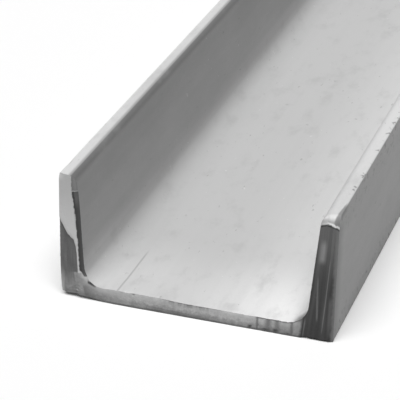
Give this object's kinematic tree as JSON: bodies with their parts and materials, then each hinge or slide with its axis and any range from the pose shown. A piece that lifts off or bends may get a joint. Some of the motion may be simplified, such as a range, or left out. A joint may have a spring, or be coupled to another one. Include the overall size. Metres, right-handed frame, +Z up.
{
  "type": "steel channel bar",
  "caption": "Hot-rolled steel channel bar with tapered flanges and rounded roots and toes, cut square, used as framing and support stock.",
  "frame": {"origin": "middle of the back of the web, on the floor the bar lies on", "axes": "Y along the bar with the end nearest the viewer at -Y, X across from flange to flange, +Z up from the back of the web towards the flange toes"},
  "size_m": [0.1, 1, 0.048],
  "materials": {
    "rolled_steel": "matt grey rolled surface, brighter on the rolled toes, darker at the cut ends"
  },
  "bodies": {
    "root": {"channel_bar": "rolled_steel"}
  },
  "joints": []
}
